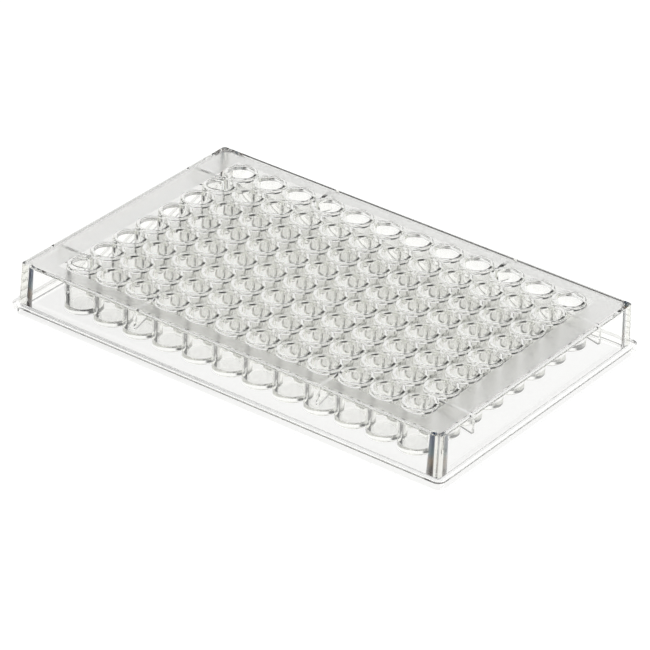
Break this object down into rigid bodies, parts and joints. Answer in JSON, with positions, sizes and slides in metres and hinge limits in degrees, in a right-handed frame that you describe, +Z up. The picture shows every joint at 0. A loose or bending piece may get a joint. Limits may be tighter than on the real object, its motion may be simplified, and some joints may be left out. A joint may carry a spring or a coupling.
{
  "type": "well plate",
  "caption": "Clear moulded plate with a grid of flat-bottomed wells under a deck, raised well rims, a drafted skirt and a flange round its foot.",
  "frame": {"origin": "centre of the footprint, on the surface the plate stands on", "axes": "+X along the long side, +Y along the short side, +Z up out of the wells"},
  "size_m": [0.1278, 0.0854, 0.0142],
  "materials": {
    "clear_polystyrene": "polished, colourless and see-through"
  },
  "bodies": {
    "root": {"well_plate": "clear_polystyrene"}
  },
  "joints": []
}
